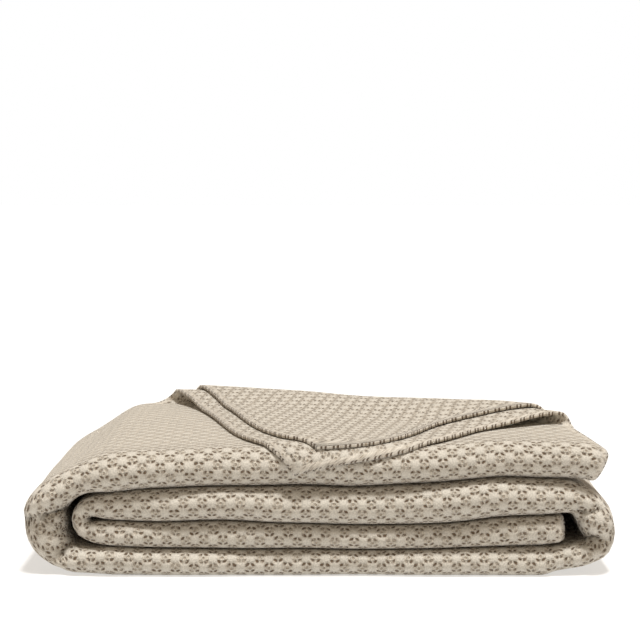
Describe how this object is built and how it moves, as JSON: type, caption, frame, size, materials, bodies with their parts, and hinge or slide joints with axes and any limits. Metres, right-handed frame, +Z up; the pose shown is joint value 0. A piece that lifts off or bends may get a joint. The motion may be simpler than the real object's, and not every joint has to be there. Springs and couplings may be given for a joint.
{
  "type": "waffle bedspread",
  "caption": "Woven cotton bedspread, folded in layers and rolled up flat, with one corner turned over on top.",
  "frame": {"origin": "centre of the bounding box, at the height of the surface it lies on", "axes": "+X to the right along the folded lips, +Y from the lips to the back, +Z up"},
  "size_m": [0.587, 0.3888, 0.1573],
  "materials": {
    "cloth": "natural cotton, light waffle weave with darker flecks"
  },
  "bodies": {
    "root": {"bedspread": "cloth"}
  },
  "joints": []
}
